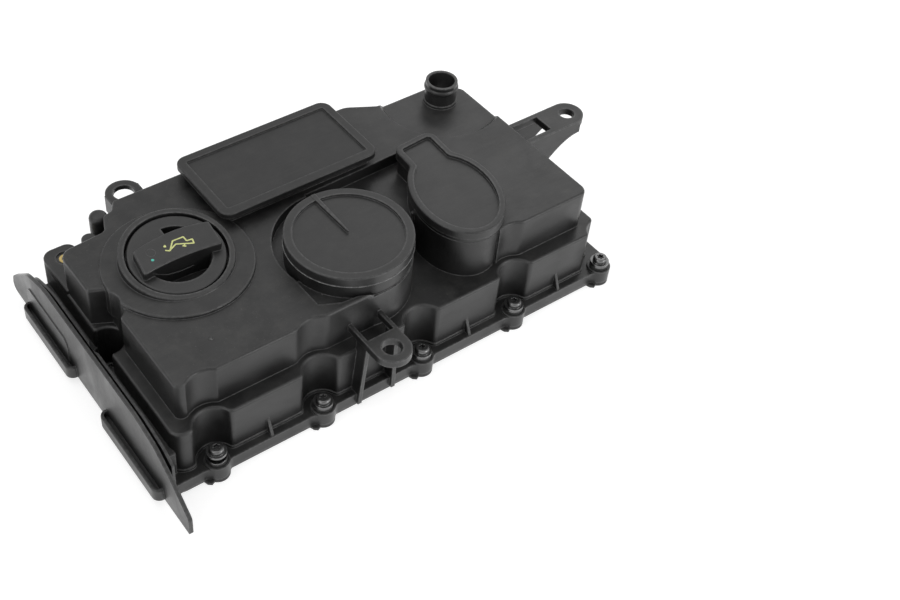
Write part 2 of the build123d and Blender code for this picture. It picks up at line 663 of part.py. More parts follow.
def separator_lid():
    """Keyhole-shaped lid of the oval separator."""
    rim, recess = 5.0, 2.4
    body = soft_top(prism(oval_face(), OVAL_SEAT, OVAL_TOP), 1.5)
    body -= prism(oval_face(-rim), OVAL_TOP - recess, OVAL_TOP + 1)
    return body - prism(oval_face(-8.5), OVAL_SEAT - 1, OVAL_TOP - 4.6)


def chamber_lid():
    """Rectangular lid of the breather chamber."""
    rim, recess = 7.4, 1.5
    body = soft_top(prism(chamber_face(), CHAMBER_SEAT, CHAMBER_TOP), 1.2)
    body -= prism(chamber_face(-rim), CHAMBER_TOP - recess, CHAMBER_TOP + 1)
    return body - prism(chamber_face(-CHAMBER_OVERHANG - WALL - 1), CHAMBER_SEAT - 1, CHAMBER_TOP - 3.6)


# ---- inside the towers ----------------------------------------------------------------------------
def ring_profile(points):
    """Solid of revolution about the regulator's axis, from a closed profile of (radius, height)."""
    face = make_face(Polyline(*[(r, 0, z) for r, z in points], close=True))
    return Pos(REGULATOR[0], REGULATOR[1], 0) * revolve(face, axis=Axis.Z)


def regulator_diaphragm():
    """Rubber diaphragm: clamped rim, one rolling fold, flat middle on top of the spring cup."""
    t = DIAPHRAGM
    middle = CUP_TOP + 0.1
    profile = [
        (0, middle), (26, middle), (30, middle + 2.6), (34, middle + 2.6), (38.5, REGULATOR_RIM - t),
        (42.8, REGULATOR_RIM - t), (42.8, REGULATOR_RIM), (38.2, REGULATOR_RIM), (33.6, middle + 2.6 + t),
        (29.5, middle + 2.6 + t), (25.6, middle + t), (0, middle + t),
    ]
    return ring_profile(profile)


def regulator_cup():
    """Spring cup under the diaphragm."""
    top = CUP_TOP
    profile = [
        (0, top - 2), (17, top - 2), (17, top - 5), (19, top - 5),
        (19, top - 1.6), (24, top - 1.6), (24, top), (0, top),
    ]
    return ring_profile(profile)


def regulator_spring():
    """Coil spring between the regulator's floor and the cup."""
    wire, coil_r = 0.7, 14.6
    low, high = REGULATOR_FLOOR + wire + 0.05, CUP_TOP - 2 - wire - 0.05
    turns = Helix(pitch=(high - low) / 3.5, height=high - low, radius=coil_r)
    path = Pos(REGULATOR[0], REGULATOR[1], low) * turns
    start = path @ 0
    direction = path % 0
    section = Plane(origin=start, z_dir=direction) * Circle(wire)
    return sweep(section, path=path, is_frenet=True)


def cyclone_cone():
    """Funnel of the oil separator, standing on the separator's floor."""
    top_r, low_r, wall = 27.0, 9.0, 1.8
    bottom, top = SEPARATOR_FLOOR, OVAL_SEAT - 3
    body = cone(OVAL, low_r, top_r, bottom, top)
    body -= cone(OVAL, low_r - wall, top_r - wall, bottom - 0.01, top + 0.01)
    inlet = block((OVAL[0] + 8, OVAL[1] + 10, top - 11), (OVAL[0] + 20, OVAL[1] + 40, top + 1))
    return body - inlet


def baffle_plate():
    """Flat oil baffle that closes the breather chamber from below, with a drain cup."""
    x0, y0 = CHAMBER
    cup, floor = drain_cup_centre(), CHAMBER_FLOOR
    plan = Pos(x0, 55.0) * RectangleRounded(142, 72, 6)
    body = prism(plan, floor - BAFFLE_THICKNESS, floor)
    body += disc(cup, 9, floor - 10, floor)
    body -= disc(cup, 7, floor - 8, floor + 1)
    body -= disc(cup, 2, floor - 11, floor)
    body -= block((x0 - 58, y0 - 26, floor - 9), (x0 - 48, y0 + 24, floor + 1))
    for centre in baffle_screw_points():
        body -= disc(centre, 1.7, floor - 5, floor + 1)
    return body


def drain_cup_centre():
    """Axis of the drain cup in the baffle."""
    return (CHAMBER[0] + 40, CHAMBER[1])


def drain_valve():
    """Rubber umbrella valve under the baffle's drain cup."""
    centre = drain_cup_centre()
    z = CHAMBER_FLOOR - 10
    stem = disc(centre, 1.9, z - 1.2, z + 4)
    return stem + disc(centre, 3.2, z + 2.05, z + 4) + disc(centre, 7.5, z - 1.4, z - 0.05)


def baffle_screws():
    """Four small screws that hold the baffle, one group of separate solids."""
    made = []
    under = CHAMBER_FLOOR - BAFFLE_THICKNESS
    for centre in baffle_screw_points():
        head = soft_bottom(disc(centre, 3.0, under - 2.2, under), 0.8)
        shank = disc(centre, 1.4, under - 0.5, CHAMBER_FLOOR + 8)
        x, y = centre
        slot = block((x - 2, y - 0.4, under - 3), (x + 2, y + 0.4, under - 1.2))
        made.append(head + shank - slot)
    return Compound(made)


# ---- filler cap -----------------------------------------------------------------------------------
def grip_face():
    """Plan of the grip bar: straight ends, a hollow front side and a full back side."""
    front, back = ThreePointArc(*GRIP_FRONT), ThreePointArc(*GRIP_BACK)
    right, left = Line(GRIP_FRONT[-1], GRIP_BACK[0]), Line(GRIP_BACK[-1], GRIP_FRONT[0])
    face = make_face(front + right + back + left)
    return Pos(*FILLER) * fillet(face.vertices(), 2)


def filler_cap():
    """Cap with a rim, a dished middle and a wide waisted grip bar across it."""
    body = soft_top(disc(FILLER, CAP_R, CAP_UNDER, CAP_TOP), 1.6)
    body += disc(FILLER, NECK_R - 2.3, CAP_PAN_BOTTOM, CAP_UNDER + 1)
    dish = cone(FILLER, CAP_RECESS_R - 1.4, CAP_RECESS_R, CAP_RECESS_FLOOR, CAP_TOP + 0.5)
    (left, right), middle_y = GRIP_FILL, FILLER[1]
    body -= dish - block((FILLER[0] + left, middle_y, 0), (FILLER[0] + right, middle_y + 40, CAP_TOP + 1))
    bar = soft_top(prism(grip_face(), CAP_UNDER + 1, GRIP_TOP), 1.2)
    foot = prism(grip_face(), CAP_RECESS_FLOOR - 0.5, CAP_UNDER + 2)
    return leaning(body + bar + (foot & disc(FILLER, CAP_RECESS_R, CAP_PAN_BOTTOM, CAP_TOP)))


def cap_core():
    """Hollow core of the cap, which reaches into the neck."""
    return leaning(tube(FILLER, NECK_R - 0.4, NECK_R - 2.2, CAP_CORE_BOTTOM, CAP_UNDER))


def cap_seal():
    """Rubber ring between the cap and the seat of the neck."""
    return leaning(tube(FILLER, CAP_R - 1.5, NECK_R + 0.6, FILLER_SEAT + 0.1, CAP_UNDER - 0.1))


# ---- files ----------------------------------------------------------------------------------------
NODES = {
    "cover_body": cover_body,
    "gasket": gasket,
    "flange_screws": flange_screws,
    "screw_sleeves": screw_sleeves,
    "screw_grommets": screw_grommets,
    "corner_insert": corner_insert,
    "regulator_lid": regulator_lid,
    "regulator_diaphragm": regulator_diaphragm,
    "regulator_cup": regulator_cup,
    "regulator_spring": regulator_spring,
    "separator_lid": separator_lid,
    "cyclone_cone": cyclone_cone,
    "chamber_lid": chamber_lid,
    "baffle_plate": baffle_plate,
    "baffle_screws": baffle_screws,
    "drain_valve": drain_valve,
    "filler_cap": filler_cap,
    "cap_core": cap_core,
    "cap_seal": cap_seal,
}

os.makedirs(PARTS, exist_ok=True)
for node, make in NODES.items():
    export_step(make(), os.path.join(PARTS, node + ".step"))
    print("wrote", node)
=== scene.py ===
# %% [markdown]
# # Valve cover of a four-cylinder engine
# The cover is one moulding of black glass-filled nylon in two storeys, closed by three welded
# lids and an oil filler cap, and screwed to the cylinder head through a flange with eleven
# screws.  Its solids come from the CAD model and stay as they are.  This notebook gives them
# their finishes, adds the small forms that a moulding tool and an ultrasonic welder leave behind,
# and lights the part in a plain studio.

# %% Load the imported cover
import bmesh
import bpy
import json
import math
import numpy as np
from mathutils import Matrix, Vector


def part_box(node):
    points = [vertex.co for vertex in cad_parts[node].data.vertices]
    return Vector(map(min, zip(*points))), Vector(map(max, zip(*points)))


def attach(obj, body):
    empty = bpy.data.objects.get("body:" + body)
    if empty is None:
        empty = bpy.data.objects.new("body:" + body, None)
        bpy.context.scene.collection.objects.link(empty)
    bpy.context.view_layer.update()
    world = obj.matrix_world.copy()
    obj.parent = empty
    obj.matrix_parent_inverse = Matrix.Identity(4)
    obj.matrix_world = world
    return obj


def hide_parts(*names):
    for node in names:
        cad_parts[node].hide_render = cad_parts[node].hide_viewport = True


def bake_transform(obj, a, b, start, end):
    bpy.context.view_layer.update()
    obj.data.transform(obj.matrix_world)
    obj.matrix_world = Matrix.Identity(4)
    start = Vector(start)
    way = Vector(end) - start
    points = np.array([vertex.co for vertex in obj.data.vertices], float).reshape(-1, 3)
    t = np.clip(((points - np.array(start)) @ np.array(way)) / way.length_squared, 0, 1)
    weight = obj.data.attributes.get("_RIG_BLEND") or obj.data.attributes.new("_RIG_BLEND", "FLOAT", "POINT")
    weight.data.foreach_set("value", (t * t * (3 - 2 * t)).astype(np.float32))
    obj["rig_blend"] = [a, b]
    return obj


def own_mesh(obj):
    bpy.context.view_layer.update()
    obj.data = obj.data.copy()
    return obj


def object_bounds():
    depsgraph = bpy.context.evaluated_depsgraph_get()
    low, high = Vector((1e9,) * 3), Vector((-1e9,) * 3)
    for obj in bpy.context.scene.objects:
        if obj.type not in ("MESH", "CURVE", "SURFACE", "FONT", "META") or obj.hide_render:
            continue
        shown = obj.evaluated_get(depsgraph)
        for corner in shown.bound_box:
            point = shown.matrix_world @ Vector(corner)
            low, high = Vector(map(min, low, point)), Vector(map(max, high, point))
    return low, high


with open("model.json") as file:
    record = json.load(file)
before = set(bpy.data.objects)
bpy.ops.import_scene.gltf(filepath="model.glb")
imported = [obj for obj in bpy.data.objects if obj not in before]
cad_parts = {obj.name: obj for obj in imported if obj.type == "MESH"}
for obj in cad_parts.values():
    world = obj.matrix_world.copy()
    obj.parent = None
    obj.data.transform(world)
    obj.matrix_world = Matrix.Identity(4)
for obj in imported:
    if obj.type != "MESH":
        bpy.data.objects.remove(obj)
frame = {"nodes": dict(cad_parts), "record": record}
cad_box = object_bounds()
MM = 0.001
print("nodes:", sorted(frame["nodes"]))


# %% [markdown]
# ## Camera
# A camera is a place, three turns and a lens.  The turns are a yaw about Z, a pitch down and a
# small roll.  It could be aimed at an empty by a constraint, but the three columns of its
# rotation matrix are simply the camera's right, its up and the direction behind it, so they are
# written down from the angles.

# %% Camera
YAW, PITCH, ROLL = (math.radians(angle) for angle in (-34.99, 45.76, -1.59))
CAMERA_PLACE = (-0.43896, -0.59977, 0.75236)
SENSOR_WIDTH, FOCAL_LENGTH = 36.0, 53.27
SHIFT_X, SHIFT_Y = 0.1444, -0.0111
NEAREST, FARTHEST = 0.01, 50.0

level_ahead = np.array([-math.sin(YAW), math.cos(YAW), 0.0])
level_right = np.array([math.cos(YAW), math.sin(YAW), 0.0])
forward = math.cos(PITCH) * level_ahead - [0.0, 0.0, math.sin(PITCH)]
down = np.cross(forward, level_right)
camera_right = math.cos(ROLL) * level_right + math.sin(ROLL) * down
camera_down = math.cos(ROLL) * down - math.sin(ROLL) * level_right
turn = Matrix(np.stack([camera_right, -camera_down, -forward], axis=1).tolist()).to_4x4()

lens = bpy.data.cameras.new("studio_camera")
lens.sensor_width, lens.lens = SENSOR_WIDTH, FOCAL_LENGTH
lens.shift_x, lens.shift_y = SHIFT_X, SHIFT_Y
lens.clip_start, lens.clip_end = NEAREST, FARTHEST
camera = bpy.data.objects.new("studio_camera", lens)
camera.matrix_world = Matrix.Translation(CAMERA_PLACE) @ turn
bpy.context.scene.collection.objects.link(camera)
bpy.context.scene.camera = camera
bpy.context.scene.view_settings.view_transform = "Standard"
print("camera at", [round(v, 3) for v in camera.location])


# %% [markdown]
# ## Nodes written in code
# A material is a graph of shader nodes.  Each node could be added, set and linked in lines of its
# own, but the graph is easier to read when one call names a node's kind and its inputs, and an
# input is either a plain value or the output of another node.

# %% Helpers for shader nodes
def node(tree, kind, inputs=None, **settings):
    """Node of a kind, with its settings, and its inputs linked (a socket) or set (a value)."""
    made = tree.nodes.new(kind)
    for key, value in settings.items():
        setattr(made, key, value)
    for key, value in (inputs or {}).items():
        socket = made.inputs[key]
        if isinstance(value, bpy.types.NodeSocket):
            tree.links.new(value, socket)
        else:
            socket.default_value = value
    return made


def maths(tree, operation, a, b=0.0, clamp=False):
    """Result of a Math node on two values or sockets."""
    made = node(tree, "ShaderNodeMath", {0: a, 1: b}, operation=operation, use_clamp=clamp)
    return made.outputs[0]


def new_material(name):
    """Material without nodes, and its tree."""
    made = bpy.data.materials.new(name)
    made.use_nodes = True
    made.node_tree.nodes.clear()
    return made, made.node_tree


print("helpers: node, maths, new_material")


# %% [markdown]
# ## Table
# The cover lies on a plain white table.  A white surface bright enough to show as pure white
# would throw too much light back on the part.  So the table is two shaders added up: a plain grey
# half that takes the shadow, and a shining half that only the camera and mirror-like surfaces
# see, picked out by the kind of ray.

# %% Table
WHITE = (1.0, 1.0, 1.0, 1.0)
TABLE_PLAIN = (0.55, 0.55, 0.55, 1.0)
TABLE_SEEN, TABLE_MIRRORED = 0.68, 0.95
TABLE_HALF = 6.0


def table_material():
    """White table: a plain half that takes the shadow, and a shining half for some rays."""
    made, tree = new_material("table_white")
    ray = node(tree, "ShaderNodeLightPath").outputs
    mirrored = maths(tree, "MAXIMUM", ray["Is Glossy Ray"], ray["Is Transmission Ray"])
    seen = maths(tree, "MULTIPLY", ray["Is Camera Ray"], TABLE_SEEN)
    strength = maths(tree, "ADD", seen, maths(tree, "MULTIPLY", mirrored, TABLE_MIRRORED))
    plain = node(tree, "ShaderNodeBsdfDiffuse", {"Color": TABLE_PLAIN})
    shine = node(tree, "ShaderNodeEmission", {"Color": WHITE, "Strength": strength})
    both = node(tree, "ShaderNodeAddShader", {0: plain.outputs[0], 1: shine.outputs[0]})
    node(tree, "ShaderNodeOutputMaterial", {"Surface": both.outputs[0]})
    return made


table_z = cad_box[0][2]
square = np.array([[-1, -1, 0], [1, -1, 0], [1, 1, 0], [-1, 1, 0]])
table_mesh = bpy.data.meshes.new("table")
table_mesh.from_pydata((square * TABLE_HALF + [0, 0, table_z]).tolist(), [], [(0, 1, 2, 3)])
table_mesh.materials.append(table_material())
table = bpy.data.objects.new("table", table_mesh)
bpy.context.scene.collection.objects.link(table)
print("table at z =", round(table_z, 4))


# %% [markdown]
# ## Sky
# A sky of even strength lights the part from everywhere and would flatten it, so it gives only
# about half of the light.  The camera sees it as white, and mirror-like surfaces see it a little
# brighter than it is, so that black plastic still shows a sheen.

# %% Sky
SKY, SKY_MIRRORED, SKY_SEEN = 0.50, 0.76, 1.0

sky = bpy.data.worlds.new("studio_sky")
sky.use_nodes = True
sky.node_tree.nodes.clear()
sky_ray = node(sky.node_tree, "ShaderNodeLightPath").outputs
seen = maths(sky.node_tree, "MULTIPLY", sky_ray["Is Camera Ray"], SKY_SEEN - SKY)
mirrored = maths(sky.node_tree, "MULTIPLY", sky_ray["Is Glossy Ray"], SKY_MIRRORED - SKY)
level = maths(sky.node_tree, "ADD", maths(sky.node_tree, "ADD", seen, mirrored), SKY)
light = node(sky.node_tree, "ShaderNodeBackground", {"Color": WHITE, "Strength": level})
node(sky.node_tree, "ShaderNodeOutputWorld", {"Surface": light.outputs[0]})
bpy.context.scene.world = sky
print("sky strength:", SKY, "and", SKY_MIRRORED, "in reflections")


# %% [markdown]
# ## Lamps
# Four large square lamps give the other half of the light: one overhead, one at the back right,
# one at the left, and the strongest at the front right, so that the front walls don't sink into
# black.  Small lamps would draw hard shadows and bright spots on the black skin.  With the sky
# these make a level patch shine about as bright as its colour is written.

# %% Lamps
AIM = (0.0, 0.0, 0.05)
LAMPS = (  # name, place, side of the square in metres, watts
    ("top_softbox", (-0.3, 0.5, 2.0), 1.6, 9.0),
    ("back_right_softbox", (1.7, 1.1, 1.5), 1.3, 6.0),
    ("left_softbox", (-1.8, -0.3, 1.1), 1.2, 8.0),
    ("front_right_softbox", (1.0, -1.8, 0.9), 1.2, 17.0),
)


def soft_lamp(name, place, size, watts):
    """Square lamp at a place, turned so that it faces the aim."""
    square_light = bpy.data.lights.new(name, "AREA")
    square_light.shape = "SQUARE"
    square_light.size = size
    square_light.energy = watts
    away = np.array(place) - np.array(AIM)
    away = away / np.linalg.norm(away)
    side = np.cross([0.0, 1.0, 0.0], away)
    side = side / np.linalg.norm(side)
    columns = np.stack([side, np.cross(away, side), away], axis=1)
    lamp = bpy.data.objects.new(name, square_light)
    lamp.matrix_world = Matrix.Translation(place) @ Matrix(columns.tolist()).to_4x4()
    bpy.context.scene.collection.objects.link(lamp)


for lamp_row in LAMPS:
    soft_lamp(*lamp_row)
print("lamps:", len(LAMPS), "of", sum(row[3] for row in LAMPS), "W together")


# %% [markdown]
# ## What the finishes share
# A moulded part isn't one flat black.  Its skin carries the fine texture of the tool, its gloss
# wanders where the melt cooled at different speeds, its edges are rounded, a painted highlight
# brightens its outer edges and its inner corners, and dust lies on what faces up.  Each effect
# could be repeated in every material, but it is built once as a node group that gives out a
# mask, a height or a normal, and a material takes as much of it as it needs.

# %% Helpers for node groups
GROUPS = {}


def new_group(name, inputs, outputs):
    """Shader node group with named sockets: returns the group, its inputs and its output node."""
    group = bpy.data.node_groups.new(name, "ShaderNodeTree")
    for label, kind, value in inputs:
        socket = group.interface.new_socket(
            name=label, in_out="INPUT", socket_type="NodeSocket" + kind)
        if value is not None:
            socket.default_value = value
    for label, kind in outputs:
        group.interface.new_socket(name=label, in_out="OUTPUT", socket_type="NodeSocket" + kind)
    given = group.nodes.new("NodeGroupInput").outputs
    return group, given, group.nodes.new("NodeGroupOutput")


def noise(tree, place, scale, detail, roughness=0.5, distortion=0.0):
    """Noise from 0 to 1 at a place, with a number of blotches per metre."""
    inputs = {"Vector": place, "Scale": scale, "Detail": detail, "Roughness": roughness,
              "Distortion": distortion}
    return node(tree, "ShaderNodeTexNoise", inputs).outputs[0]


def ramp(tree, value, low, high, start=0.0, end=1.0):
    """Value between low and high, spread over start to end and held there outside."""
    inputs = {0: value, 1: low, 2: high, 3: start, 4: end}
    return node(tree, "ShaderNodeMapRange", inputs).outputs[0]


print("helpers: new_group, noise, ramp")


# %% [markdown]
# ### Skin of the tool
# The steel of the mould is spark-eroded, and the plastic copies its grain of a few hundredths of
# a millimetre.  As real geometry that would take millions of faces, so it is a height for a bump:
# a fine noise, and under it one about three times coarser with half the height.

# %% Eroded skin
COARSER, COARSE_HEIGHT = 0.33, 0.5


def make_eroded_skin():
    """Height of spark-eroded steel: fine noise plus half as much of one three times coarser."""
    group, given, result = new_group(
        "eroded_skin",
        [("Vector", "Vector", None), ("Grains per metre", "Float", 1800.0)],
        [("Height", "Float")])
    fine = noise(group, given["Vector"], given["Grains per metre"], detail=2.0, roughness=0.6)
    coarse_scale = maths(group, "MULTIPLY", given["Grains per metre"], COARSER)
    coarse = noise(group, given["Vector"], coarse_scale, detail=1.0)
    height = maths(group, "ADD", fine, maths(group, "MULTIPLY", coarse, COARSE_HEIGHT))
    group.links.new(height, result.inputs["Height"])
    return group


GROUPS["skin"] = make_eroded_skin()
print("group:", GROUPS["skin"].name)


# %% [markdown]
# ### Soft edges
# Every edge of a moulding is rounded by some tenths of a millimetre.  The solids keep their sharp
# edges, so the rounding is done in the normal by the Bevel node.  Where that normal leaves the
# flat one there is an edge, and the same comparison gives a mask of it.

# %% Soft edges
EDGE_CONTRAST = 6.0
EDGE_SAMPLES = 6


def make_soft_edges():
    """Normal rounded over an edge, and a mask of how far it turned away from the flat normal."""
    group, given, result = new_group(
        "soft_edges", [("Radius", "Float", 0.0007)], [("Normal", "Vector"), ("Edge", "Float")])
    rounded = node(group, "ShaderNodeBevel", {"Radius": given["Radius"]}, samples=EDGE_SAMPLES)
    flat = node(group, "ShaderNodeNewGeometry").outputs["Normal"]
    same = node(group, "ShaderNodeVectorMath", {0: rounded.outputs[0], 1: flat},
                operation="DOT_PRODUCT").outputs["Value"]
    turned = maths(group, "SUBTRACT", 1.0, same)
    edge = maths(group, "MULTIPLY", turned, EDGE_CONTRAST, clamp=True)
    group.links.new(rounded.outputs[0], result.inputs["Normal"])
    group.links.new(edge, result.inputs["Edge"])
    return group


GROUPS["edges"] = make_soft_edges()
print("group:", GROUPS["edges"].name)


# %% [markdown]
# ### Marks of the melt
# Where the melt met a hotter part of the tool it copied the texture better and is more matt, and
# the glass fibres in it leave drawn-out streaks.  One noise can't show both, so a broad one gives
# the slow wander, and a second one, turned and stretched along the cover, gives the streaks.

# %% Melt marks
MARKS_PER_METRE, STREAKS_PER_MARK = 22.0, 7.0
STREAK_TURN, STREAK_STRETCH = (0.0, 0.0, 0.35), (0.25, 1.6, 0.8)
BROAD_RANGE, STREAK_RANGE = (0.3, 0.7), (0.35, 0.75)


def make_melt_marks():
    """Two masks from 0 to 1: broad warped noise, and a finer one drawn out into streaks."""
    group, given, result = new_group(
        "melt_marks",
        [("Vector", "Vector", None), ("Marks per metre", "Float", MARKS_PER_METRE)],
        [("Broad", "Float"), ("Streaks", "Float")])
    pitch = given["Marks per metre"]
    broad = noise(group, given["Vector"], pitch, detail=3.0, roughness=0.55, distortion=0.6)
    drawn = node(group, "ShaderNodeMapping", {
        "Vector": given["Vector"], "Rotation": STREAK_TURN, "Scale": STREAK_STRETCH}).outputs[0]
    streak_pitch = maths(group, "MULTIPLY", pitch, STREAKS_PER_MARK)
    streaks = noise(group, drawn, streak_pitch, detail=4.0, roughness=0.6, distortion=1.2)
    group.links.new(ramp(group, broad, *BROAD_RANGE), result.inputs["Broad"])
    group.links.new(ramp(group, streaks, *STREAK_RANGE), result.inputs["Streaks"])
    return group


GROUPS["melt"] = make_melt_marks()
print("group:", GROUPS["melt"].name)


# %% [markdown]
# ### Resting dust
# Dust settles only on what looks up, as a thin film in patches and as single specks.  Particles
# would be thousands of objects for something too thin to have a shape, so it is a mask: noise
# above a level, times how far the face looks up.

# %% Dust
FILM_PER_METRE, SPECKS_PER_METRE = 60.0, 900.0
FILM_RANGE, FILM_SHARE = (0.45, 0.8), 0.5
SPECK_RANGE = (0.72, 0.78)
UPWARD_POWER = 3.0


def make_dust():
    """Mask of specks and a thin film: noise above a level, times the upward part of the normal."""
    group, given, result = new_group(
        "resting_dust",
        [("Vector", "Vector", None), ("Amount", "Float", 0.3)],
        [("Dust", "Float")])
    flat = node(group, "ShaderNodeNewGeometry").outputs["Normal"]
    height = node(group, "ShaderNodeSeparateXYZ", {0: flat}).outputs["Z"]
    upward = maths(group, "POWER", maths(group, "MAXIMUM", height, 0.0), UPWARD_POWER)
    film = noise(group, given["Vector"], FILM_PER_METRE, detail=5.0, roughness=0.7)
    specks = noise(group, given["Vector"], SPECKS_PER_METRE, detail=1.0)
    film_part = ramp(group, film, *FILM_RANGE, 0.0, FILM_SHARE)
    cover = maths(group, "ADD", film_part, ramp(group, specks, *SPECK_RANGE))
    lying = maths(group, "MULTIPLY", cover, upward)
    dust = maths(group, "MULTIPLY", lying, given["Amount"], clamp=True)
    group.links.new(dust, result.inputs["Dust"])
    return group


GROUPS["dust"] = make_dust()
print("group:", GROUPS["dust"].name)


# %% [markdown]
# ### Painted highlights in creases and on edges
# A pale tone in inner corners and along outer edges paints the highlights that their rounded
# fillets catch.  Both could be painted by hand.  The Ambient Occlusion node finds them instead:
# looking outwards it sees near faces in an inner corner, and looking into the material it sees
# them at an outer edge.

# %% Painted highlights in creases and on edges
NEAR_SAMPLES = 6
# Reach and range of the masks for painted highlights in inner creases and on outer fillets.
CREASE_REACH, CREASE_RANGE = 1.2e-3, (0.22, 0.5)
FILLET_HIGHLIGHT_REACH, FILLET_HIGHLIGHT_RANGE = 1.8e-3, (0.06, 0.34)


def make_nearness(name, label, reach, limits, inside):
    """Mask of how near other faces are: 1 minus the openness within a reach, between limits."""
    group, given, result = new_group(name, [("Reach", "Float", reach)], [(label, "Float")])
    open_share = node(
        group, "ShaderNodeAmbientOcclusion", {"Distance": given["Reach"]},
        samples=NEAR_SAMPLES, only_local=True, inside=inside).outputs["AO"]
    near = maths(group, "SUBTRACT", 1.0, open_share)
    group.links.new(ramp(group, near, *limits), result.inputs[label])
    return group


# These masks paint highlights: the outward one in inner creases, the inward one on outer fillets.
GROUPS["creases"] = make_nearness("painted_crease_highlight", "Crease_highlight", CREASE_REACH, CREASE_RANGE, False)
GROUPS["rubbed_and_highlit"] = make_nearness("painted_fillet_highlight", "Fillet_highlight", FILLET_HIGHLIGHT_REACH, FILLET_HIGHLIGHT_RANGE, True)
print("node groups:", sorted(group.name for group in GROUPS.values()))


# %% [markdown]
# ## Moulded nylon and rubber
# The body, the lids and the cap are black nylon, the gasket and the seals are rubber.  They
# differ only in numbers: the tone, the gloss, how coarse the skin is and how much the edges have
# rounded.  Each could be a material built by hand, but one function that takes those numbers
# keeps them alike.  The tone is layered from the inside out: melt marks, a painted highlight on
# outer edges, a painted highlight in creases, then dust.

# %% Tone of a moulding
MIX_LOW, MIX_HIGH, MIX_RESULT = 6, 7, 2  # the colour sockets of a Mix node
STREAK_SHARE, STREAK_TONE = 0.35, 0.8
PATCHES_PER_METRE, PATCH_RANGE, PATCH_LEAST = 330.0, (0.42, 0.62), 0.3
# Shares and tones of the painted highlights on outer edges and fillets, and in inner creases.
EDGE_HIGHLIGHT_SHARE, EDGE_HIGHLIGHT_TONE, CREASE_HIGHLIGHT_TONE = 0.7, 6.0, 5.0
DUST_SHARE, DUST_TONE = 0.35, (0.30, 0.29, 0.27)


def mixed(tree, share, low, high):
    """Colour between two colours, by a share from 0 to 1."""
    low, high = (c if isinstance(c, bpy.types.NodeSocket) else (*c, 1.0) for c in (low, high))
    inputs = {"Factor": share, MIX_LOW: low, MIX_HIGH: high}
    return node(tree, "ShaderNodeMix", inputs, data_type="RGBA").outputs[MIX_RESULT]


def placed(tree, group, inputs):
    """Outputs of a node group placed in a material, with its inputs set or linked."""
    return node(tree, "ShaderNodeGroup", inputs, node_tree=GROUPS[group]).outputs


def grey(level):
    """Neutral colour of one level."""
    return (level, level, level)


def moulded_tone(tree, place, dark, pale, melt, edge, dust):
    """Colour between two grey levels, with painted highlights on edges and in creases, dusty on top."""
    highlit_crease = placed(tree, "creases", {"Reach": CREASE_REACH})["Crease_highlight"]
    highlit_fillet = placed(tree, "rubbed_and_highlit", {"Reach": FILLET_HIGHLIGHT_REACH})["Fillet_highlight"]
    patches = noise(tree, place, PATCHES_PER_METRE, detail=5.0, roughness=0.7)
    patches = ramp(tree, patches, *PATCH_RANGE, PATCH_LEAST, 1.0)
    # Painted highlight: outer edges and fillets are brightened towards a pale tone, in patches.
    wear_and_highlight = maths(tree, "MULTIPLY", maths(tree, "MAXIMUM", edge, highlit_fillet), EDGE_HIGHLIGHT_SHARE)
    wear_and_highlight = maths(tree, "MULTIPLY", wear_and_highlight, patches, clamp=True)
    # Painted highlight in inner creases, in the same patches.
    highlit_crease = maths(tree, "MULTIPLY", highlit_crease, patches)
    streaks = maths(tree, "MULTIPLY", melt["Streaks"], STREAK_SHARE)
    film = maths(tree, "MULTIPLY", dust, DUST_SHARE)
    tone = mixed(tree, melt["Broad"], grey(dark), grey(pale))
    tone = mixed(tree, streaks, tone, grey(STREAK_TONE * dark))
    tone = mixed(tree, wear_and_highlight, tone, grey(EDGE_HIGHLIGHT_TONE * pale))
    tone = mixed(tree, highlit_crease, tone, grey(CREASE_HIGHLIGHT_TONE * pale))
    return mixed(tree, film, tone, DUST_TONE)


print("tone of a moulding: melt, wear, creases, dust")

# %% [markdown]
# ### Gloss, skin and edges
# The roughness wanders with the melt and rises under dust.  The grain could be displaced
# geometry, but it is far smaller than a pixel, so it is a bump, laid on top of the normal that
# the soft edges give.  The table holds one row of numbers for each slot of the record.

# %% Moulded finishes
STREAK_ROUGHNESS, DUST_ROUGHNESS = 0.05, 0.3
SKIN_STRENGTH = 0.6
MOULDED = {  # slot: name, dark, pale, roughness, grains per metre, skin depth, edge radius, dust
    "plastic": ("nylon_body", 0.006, 0.018, (0.30, 0.50), 1900, 6e-5, 8e-4, 0.35),
    "lid_plastic": ("nylon_lids", 0.009, 0.016, (0.33, 0.45), 2300, 4e-5, 7e-4, 0.2),
    "cap_plastic": ("nylon_cap", 0.011, 0.017, (0.34, 0.44), 2600, 4e-5, 6e-4, 0.2),
    "gasket_rubber": ("gasket_rubber", 0.007, 0.012, (0.5, 0.65), 1500, 4e-5, 4e-4, 0.2),
    "seal_rubber": ("seal_rubber", 0.007, 0.011, (0.5, 0.62), 1800, 3e-5, 3e-4, 0.2),
}


